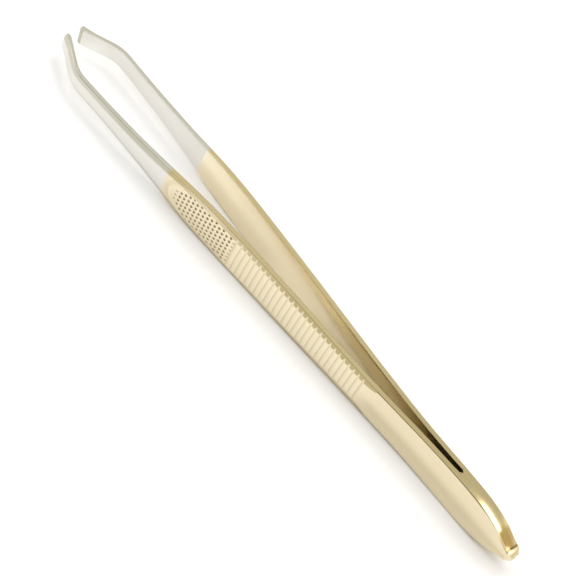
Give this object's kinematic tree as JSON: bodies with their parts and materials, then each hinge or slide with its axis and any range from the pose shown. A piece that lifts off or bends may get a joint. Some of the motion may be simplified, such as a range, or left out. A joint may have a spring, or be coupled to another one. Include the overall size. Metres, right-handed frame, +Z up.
{
  "type": "slant tweezers",
  "caption": "Gold-plated slant tweezers with a ribbed and dimpled grip, a pointed flat heel and narrow nickel-plated tips.",
  "frame": {"origin": "under the middle of the object, on the surface that the lower long edges stand on", "axes": "+X from the heel to the tips, +Y to the left leg, +Z up, across the width of the legs"},
  "size_m": [0.095, 0.0092, 0.0071],
  "materials": {
    "gold_plating": "polished, plated pale gold",
    "nickel_plating": "polished, plated nickel",
    "dark_steel": "as blanked, tarnished"
  },
  "bodies": {
    "heel": {"left_heel_plate": "gold_plating", "right_heel_plate": "gold_plating", "heel_spacer": "dark_steel", "spot_welds": "dark_steel"},
    "left_leg": {"left_shank": "gold_plating", "left_jaw": "nickel_plating"},
    "right_leg": {"right_shank": "gold_plating", "right_jaw": "nickel_plating"}
  },
  "joints": [
    {"name": "left_leg_bend", "type": "hinge", "parent": "heel", "child": "left_leg", "pos_m": [-0.02002, 0.0013, 0.00352], "axis": [0, 0, -1], "range_deg": [0, 0.915], "stiffness_Nm_per_rad": 1.65},
    {"name": "right_leg_bend", "type": "hinge", "parent": "heel", "child": "right_leg", "pos_m": [-0.02002, -0.0013, 0.00352], "axis": [0, 0, 1], "range_deg": [0, 0.915], "stiffness_Nm_per_rad": 1.65}
  ],
  "couplings": [
    {"joint": "right_leg_bend", "follows": "left_leg_bend", "ratio": 1}
  ]
}
